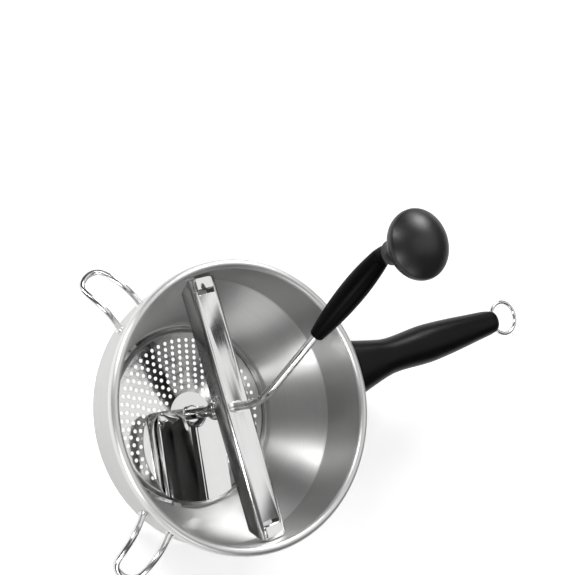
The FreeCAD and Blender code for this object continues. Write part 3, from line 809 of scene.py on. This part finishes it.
def holed_sheet(name, rows, radius):
    """A skin of quads with a round opening on the Z axis."""
    wide = len(rows[0])
    points = [p for row in rows for p in row]
    kept, lost = [], set()
    for i in range(len(rows) - 1):
        for j in range(wide - 1):
            a, b = i * wide + j, (i + 1) * wide + j
            quad = (a, a + 1, b + 1, b)
            centre = sum((points[k] for k in quad), Vector()) / 4
            if math.hypot(centre.x, centre.y) < radius:
                lost.update(quad)
            else:
                kept.append(quad)
    used = sorted({k for quad in kept for k in quad})
    for k in lost.intersection(used):
        rim = Vector((points[k].x, points[k].y, 0)).normalized() * radius
        points[k] = Vector((rim.x, rim.y, points[k].z))
    order = {k: i for i, k in enumerate(used)}
    faces = [tuple(order[k] for k in quad) for quad in kept]
    return new_piece(name, [points[k] for k in used], faces)


def blade_slopes(s):
    """Heights that lay the blade's two sides flatter and round its trough."""
    # Start and end in millimetres, and slope between them.
    slopes = ((-80, -44, 0.12), (-40, -22, -0.1), (-22, -6, -0.1), (-1, 40, 0.3))

    def rise(n, place_of):
        along = (math.cos(s.blade_turn), math.sin(s.blade_turn), 0)
        across = n.add("ShaderNodeVectorMath", {0: place_of, 1: along},
                       operation="DOT_PRODUCT")["Value"]
        height = 0.0
        for low, high, slope in slopes:
            within = n.math("MINIMUM", n.math("MAXIMUM", across, low * MM), high * MM)
            height = n.math("MULTIPLY_ADD", within, slope, height)
        return height

    return rise


class MILL_OT_blade(bpy.types.Operator):
    """Press the half-moon blade with its trough and hub opening"""

    bl_idname = "mill.blade"
    bl_label = "Blade"

    def execute(self, context):
        s, f = sizes_of(context)
        blade = holed_sheet("blade_sheet", blade_rows(s), s.hub_opening)
        thick = blade.modifiers.new("sheet", "SOLIDIFY")
        thick.thickness = s.blade_sheet
        thick.offset = 0.0
        settle(blade)
        turn(blade, s.blade_turn)
        finish = polished_steel("blade_polish", f.polished, (40.0, 900.0, 900.0),
                                rise=blade_slopes(s))
        place(blade, "crank", "polished_steel", ["blade"], finish, crease=40.0)
        return {"FINISHED"}


class MILL_OT_spring(bpy.types.Operator):
    """Wind the spring under the cross bar"""

    bl_idname = "mill.spring"
    bl_label = "Spring"

    def execute(self, context):
        s, f = sizes_of(context)
        low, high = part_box("spring")
        per_turn, tail, tail_bend = 8, 3.0 * MM, 1.6 * MM
        step = 2 * math.pi / per_turn
        corner_radius = s.spring_radius / math.cos(step / 2)
        count = s.spring_turns * per_turn
        rise = (high.z - low.z - 2 * tail) / (count - 1)
        corners = [Vector((corner_radius * math.cos(step * i), corner_radius * math.sin(step * i),
                           low.z + tail + rise * i)) for i in range(count)]
        run = (corners[1] - corners[0]).length / 2
        bend = run / math.tan((corners[1] - corners[0]).angle(corners[2] - corners[1]) / 2)
        first = Vector((corners[0].x, corners[0].y, low.z))
        last = Vector((corners[-1].x, corners[-1].y, high.z))
        bends = [tail_bend] + [bend] * (count - 2) + [tail_bend]
        path = rounded_path([first, *corners, last], bends, 8.0)
        spring = tube("spring_wire", path, s.spring_wire / 2, 14)
        finish = polished_steel("spring_polish", f.spring, (300.0, 300.0, 900.0), roughness=0.16)
        place(spring, "crank", "spring_steel", ["spring"], finish, crease=60.0)
        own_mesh(spring)
        return {"FINISHED"}


def crank_corners(s):
    """Corners of the rod's middle line in the XZ plane."""
    low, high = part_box("crank_rod")
    tip = s.crank_bend + s.crank_reach * math.tan(s.crank_slope)
    return [flat(0, low.z), flat(0, s.crank_bend), flat(s.crank_reach, tip),
            flat(s.crank_reach, high.z)]


def rounded_end(distance, reach, depth):
    """How far a rounded end draws the surface in, at a distance from that end."""
    part = min(distance, reach) / reach
    return depth * (1 - math.sqrt(max(0.0, 1 - (1 - part) ** 2)))


def grip_skin(s, line):
    """Points along the grip with a radius at each: blunt start, belly, slim elbow and collar."""
    run = [0.0]
    for a, b in zip(line, line[1:]):
        run.append(run[-1] + (b - a).length)
    slope = s.crank_reach / math.cos(s.crank_slope) - s.grip_start
    belly = 106.0 * MM - s.grip_start
    start_fall, end_fall, bore = 4.2 * MM, 2.6 * MM, 3.2 * MM
    path, radii = [line[0]], [bore]
    for p, at in zip(line, run):
        if at < belly:
            t, fall = 1 - at / belly, start_fall
        else:
            t, fall = min(1.0, (at - belly) / (slope - belly)), end_fall
        radius = s.grip_radius - fall * t * t
        radius -= rounded_end(at, 1.2 * MM, 1.0 * MM)
        radius -= rounded_end(run[-1] - at, 0.9 * MM, 0.8 * MM)
        path.append(p if at > 0 else p + (line[1] - line[0]) * 1e-4)
        radii.append(radius)
    return path, radii


class MILL_OT_crank(bpy.types.Operator):
    """Bend the crank rod and mould its grip"""

    bl_idname = "mill.crank"
    bl_label = "Crank"

    def execute(self, context):
        s, f = sizes_of(context)
        corners = crank_corners(s)
        elbow, collar_rise, rod_spacing, grip_spacing = 8 * MM, 9 * MM, 4 * MM, 1.2 * MM
        path = finer(rounded_path(corners, (s.rod_bend, elbow), 3.0), rod_spacing)
        rod = tube("crank_rod_bar", path, s.rod_radius, 36)
        turn(rod, s.crank_angle)
        # Painted shade: the rod's steel is darkened to 0.68 of the polished tint, besides its
        # rougher finish.
        rod_painted_shade = shade(f.polished, 0.68)
        finish = polished_steel("rod_polish", rod_painted_shade, (300.0, 300.0, 60.0), roughness=0.24)
        place(rod, "crank", "polished_steel", ["crank_rod"], finish, crease=50.0)
        start = corners[1] + (corners[2] - corners[1]).normalized() * s.grip_start
        collar = corners[2] + UP * collar_rise
        line = finer(rounded_path([start, corners[2], collar], (elbow,)), grip_spacing)
        grip = tube("crank_grip_body", *grip_skin(s, line), 48)
        turn(grip, s.crank_angle)
        finish = black_plastic("grip_plastic", f.plastic, roughness=0.38, sheen=0.05)
        place(grip, "crank", "black_plastic", ["crank_grip"], finish, crease=40.0)
        return {"FINISHED"}


class MILL_OT_knob(bpy.types.Operator):
    """Turn the knob"""

    bl_idname = "mill.knob"
    bl_label = "Knob"

    def execute(self, context):
        s, f = sizes_of(context)
        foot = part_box("knob")[0].z
        shoulder, bore, bore_depth, chamfer = 4.5 * MM, 3.3 * MM, 3 * MM, 0.6 * MM
        belt_rise, under_rise, under_radius, neck_radius = 30 * MM, 22 * MM, 18.5 * MM, 8.5 * MM
        belt = flat(s.knob_radius, foot + belt_rise)
        top = flat(0, foot + s.knob_height)
        under = flat(under_radius, foot + under_rise)
        neck = flat(neck_radius, foot)
        side, dome = s.knob_radius - shoulder, top.z - belt.z
        crown = (side ** 2 + dome ** 2 - shoulder ** 2) / (2 * (dome - shoulder))
        lean = math.atan2(crown - dome, side)
        junction = flat(side + shoulder * math.cos(lean), belt.z + shoulder * math.sin(lean))
        upper, leaving = tangent_arc(belt, UP, junction, 14)
        cap, _ = tangent_arc(junction, leaving, top, 18)
        lower, leaving = tangent_arc(belt, -UP, under, 10)
        stem, _ = tangent_arc(under, leaving, neck, 10)
        stem[-1] = flat(neck.x, foot + chamfer)
        edge = [flat(bore, foot + bore_depth), flat(bore, foot), flat(neck.x - chamfer, foot)]
        profile = edge + stem[::-1] + lower[::-1][1:] + upper[1:] + cap[1:]
        knob = lathe("knob_ball", profile, 96)
        along = Vector((math.cos(s.crank_angle), math.sin(s.crank_angle), 0))
        knob.data.transform(Matrix.Translation(along * s.crank_reach))
        finish = black_plastic("knob_plastic", f.knob, roughness=0.38, sheen=0.6)
        place(knob, "knob", "black_plastic", ["knob"], finish, crease=40.0)
        return {"FINISHED"}


def smooth_between(stations, x):
    """A smooth value through pairs of place and value."""
    for i in range(len(stations) - 1):
        (x0, v0), (x1, v1) = stations[i], stations[i + 1]
        if x <= x1:
            before = stations[max(i - 1, 0)]
            after = stations[min(i + 2, len(stations) - 1)]
            wide = x1 - x0
            m0 = (v1 - before[1]) / (x1 - before[0]) * wide
            m1 = (after[1] - v0) / (after[0] - x0) * wide
            t = (x - x0) / wide
            return ((2 * t ** 3 - 3 * t ** 2 + 1) * v0 + (t ** 3 - 2 * t ** 2 + t) * m0
                    + (-2 * t ** 3 + 3 * t ** 2) * v1 + (t ** 3 - t ** 2) * m1)
    return stations[-1][1]


def handle_point(x, wide, tall, height, start, cosine, sine):
    """A point of the handle's section, drawn in at the base to follow the rim."""
    power, base = 2 / 2.3, 30 * MM
    y = math.copysign(abs(cosine) ** power, cosine) * wide / 2
    z = math.copysign(abs(sine) ** power, sine) * tall / 2
    near = max(0.0, 1 - (x - start) / base)
    return Vector((x + (math.sqrt(start ** 2 - y ** 2) - start) * near, y, height + z))


def ring_cutter(s, hole, height):
    """The belled passage that the ring swings in."""
    bore = s.ring_wire / 2 + 0.4 * MM
    curve = s.ring_radius - bore
    half, steps = 0.985 * curve, 12
    profile = [flat(0, -half)]
    for i in range(2 * steps + 1):
        y = half * (i / steps - 1)
        profile.append(flat(s.ring_radius - math.sqrt(curve ** 2 - y ** 2), y))
    profile.append(flat(0, half))
    cutter = lathe("ring_passage", profile, 64)
    aside = Matrix.Rotation(math.radians(90), 4, "X")
    cutter.data.transform(Matrix.Translation((hole, 0, height)) @ aside)
    return cutter


class MILL_OT_handle(bpy.types.Operator):
    """Mould the long handle and thread the hanging ring through its end"""

    bl_idname = "mill.handle"
    bl_label = "Long handle"

    def execute(self, context):
        s, f = sizes_of(context)
        rim_gap, round_end, hole_inset = 0.6 * MM, 9 * MM, 4.3 * MM
        start = s.rim_radius + rim_gap
        end = start + s.handle_length
        height = s.bowl_height - s.handle_drop
        tip = end - round_end
        # Share of the handle's length, and width or height there in millimetres.
        widths = [(-0.025, 49.0), (0.10, 37.5), (0.25, 28.5), (0.52, 31.0), (0.944, 20.5)]
        heights = [(-0.025, 31.0), (0.10, 28.5), (0.25, 26.0), (0.52, 27.0), (0.944, 18.5)]
        steps, end_steps = 60, 10
        xs = [start + (tip - start) * i / steps for i in range(steps + 1)]
        xs += [tip + round_end * math.sin(math.radians(90 * i / end_steps))
               for i in range(1, end_steps + 1)]
        rows = []
        for x in xs:
            part = (x - start) / s.handle_length
            wide, tall = smooth_between(widths, part) * MM, smooth_between(heights, part) * MM
            if x > tip:
                fall = math.sqrt(max(0.0, 1 - 0.9 * ((x - tip) / round_end) ** 2))
                wide, tall = wide * fall, tall * fall
            rows.append([handle_point(x, wide, tall, height, start, *at) for at in circle(64)])
        handle = outward(grid_piece("handle_body", rows, caps=True))
        hole = end - hole_inset
        pocket_end, pocket_half, pocket_rise = 142.5 * MM, 7.15 * MM, 4.15 * MM
        before = start - 20 * MM
        pocket = block("tang_pocket", (before, -pocket_half, height - pocket_rise),
                       (pocket_end, pocket_half, height + pocket_rise))
        cut(handle, ring_cutter(s, hole, height), pocket)
        finish = black_plastic("handle_plastic", f.plastic, roughness=0.34, sheen=0.16,
                               seam=height)
        place(handle, "handle", "black_plastic", ["handle_grip"], finish, crease=40.0)
        centre = flat(hole + s.ring_radius, height)
        wire = [centre + Vector((*at, 0)) * s.ring_radius for at in circle(96)]
        ring = tube("hanging_ring_wire", wire, s.ring_wire / 2, 28, closed=True)
        finish = polished_steel("ring_polish", f.polished, (400.0, 400.0, 60.0), roughness=0.17)
        place(ring, "ring", "polished_steel", ["hanging_ring"], finish, crease=60.0)
        return {"FINISHED"}


def floor_finish(tint):
    """Pale floor that reads as white and keeps a soft shadow, with painted light under the sieve.
    """
    material, n, shader, place_of = new_material("floor_paint")
    grain = n.noise(place_of, 90.0, 3.0)
    path = n.add("ShaderNodeLightPath")
    reach = n.add("ShaderNodeVectorMath", {0: place_of}, operation="LENGTH")["Value"]
    seen = n.math("MAXIMUM", path["Is Camera Ray"], path["Is Transmission Ray"])
    # Painted light: under the sieve the floor glows more to camera rays, lifting the shadow there;
    # further out the glow rises with distance.
    painted_light_under_sieve = n.spread(reach, 0.6, 0.0, 0.07, 0.1)
    around = n.spread(reach, 0.38, 1.0, 0.3, 0.9)
    glow = n.times(seen, n.plus(painted_light_under_sieve, around))
    n.fill(shader, {
        "Base Color": n.tinted(grain, shade(tint, 0.985), tint),
        "Roughness": 0.9,
        "Specular IOR Level": 0.1,
        "Emission Color": (1, 1, 1, 1),
        "Emission Strength": n.math("MULTIPLY_ADD", path["Is Glossy Ray"], 0.2, glow)})
    return material


def studio_world(scene):
    """Soft studio surroundings: a pale panel overhead and ahead, dark all round."""
    world = bpy.data.worlds.new("studio")
    world.use_nodes = True
    n = Nodes(world.node_tree)
    back = n.tree.nodes["Background"]
    x, y, z = n.split(n.add("ShaderNodeTexCoord")["Generated"])
    across = n.spread(n.math("ABSOLUTE", y), 1.0, 0.0, 0.22, 0.40, "SMOOTHSTEP")
    above = n.spread(z, 0.0, 1.0, 0.46, 0.60, "SMOOTHSTEP")
    ahead = n.spread(x, 0.0, 1.0, -0.24, -0.04, "SMOOTHSTEP")
    panel = n.times(n.times(across, above), ahead)
    level = n.plus(n.times(n.spread(z, 0.0, 1.0), 0.05), n.times(panel, 0.86))
    n.fill(back, {"Color": n.tinted(level, (0.03, 0.03, 0.031), (1.0, 1.0, 1.0))})
    white = n.add("ShaderNodeBackground", {"Color": (1, 1, 1, 1)})[0]
    seen = n.add("ShaderNodeLightPath")["Is Camera Ray"]
    mixed = n.add("ShaderNodeMixShader", {0: seen, 1: back.outputs[0], 2: white})[0]
    n.fill(n.tree.nodes["World Output"], {"Surface": mixed})
    scene.world = world


def lamp(name, place_at, aim, wide, tall, power):
    """A soft panel of light."""
    data = bpy.data.lights.new(name, "AREA")
    data.shape = "RECTANGLE"
    data.size, data.size_y = wide, tall
    data.energy = power
    panel = bpy.data.objects.new(name, data)
    panel.location = place_at
    panel.rotation_euler = (Vector(aim) - Vector(place_at)).to_track_quat("-Z", "Y").to_euler()
    bpy.context.scene.collection.objects.link(panel)


class MILL_OT_stage(bpy.types.Operator):
    """Set the floor, the light and the camera"""

    bl_idname = "mill.stage"
    bl_label = "Stage"

    def execute(self, context):
        scene = context.scene
        rows = [[Vector((x, y, 0)) for y in FLOOR_Y] for x in FLOOR_X]
        floor = grid_piece("floor", rows, close_columns=False)
        floor.data.materials.append(floor_finish(scene.mill_finish.floor))
        studio_world(scene)
        for values in LAMPS:
            lamp(*values)
        data = bpy.data.cameras.new("camera")
        data.lens = FOCAL_PIXELS / IMAGE_WIDTH * data.sensor_width
        data.clip_start, data.clip_end = 0.01, 20.0
        camera = bpy.data.objects.new("camera", data)
        camera.location = CAMERA_PLACE
        camera.rotation_euler = [math.radians(a) for a in CAMERA_DEGREES]
        scene.collection.objects.link(camera)
        scene.camera = camera
        scene.view_settings.view_transform = "Standard"
        return {"FINISHED"}


OPERATORS = (MILL_OT_bowl, MILL_OT_lugs, MILL_OT_hooks, MILL_OT_sieve, MILL_OT_cross_bar,
             MILL_OT_blade, MILL_OT_spring, MILL_OT_crank, MILL_OT_knob, MILL_OT_handle,
             MILL_OT_stage)


class MILL_PT_panel(bpy.types.Panel):
    """Pieces of the food mill"""

    bl_idname = "MILL_PT_panel"
    bl_label = "Food Mill"
    bl_space_type = "VIEW_3D"
    bl_region_type = "UI"
    bl_category = "Food Mill"

    def draw(self, context):
        layout = self.layout
        for operator in OPERATORS:
            layout.operator(operator.bl_idname)
        for group in sizes_of(context):
            column = layout.column()
            for name in group.__annotations__:
                column.prop(group, name)


CLASSES = (MillSizes, MillFinish, *OPERATORS, MILL_PT_panel)


def register():
    """Registers the classes and their properties."""
    for each in CLASSES:
        bpy.utils.register_class(each)
    bpy.types.Scene.mill_sizes = PointerProperty(type=MillSizes)
    bpy.types.Scene.mill_finish = PointerProperty(type=MillFinish)


def unregister():
    """Removes the classes and their properties."""
    del bpy.types.Scene.mill_finish
    del bpy.types.Scene.mill_sizes
    for each in reversed(CLASSES):
        bpy.utils.unregister_class(each)


def main():
    """Builds every piece in order."""
    register()
    bpy.ops.mill.bowl()
    bpy.ops.mill.lugs()
    bpy.ops.mill.hooks()
    bpy.ops.mill.sieve()
    bpy.ops.mill.cross_bar()
    bpy.ops.mill.blade()
    bpy.ops.mill.spring()
    bpy.ops.mill.crank()
    bpy.ops.mill.knob()
    bpy.ops.mill.handle()
    bpy.ops.mill.stage()


if __name__ == "__main__":
    main()
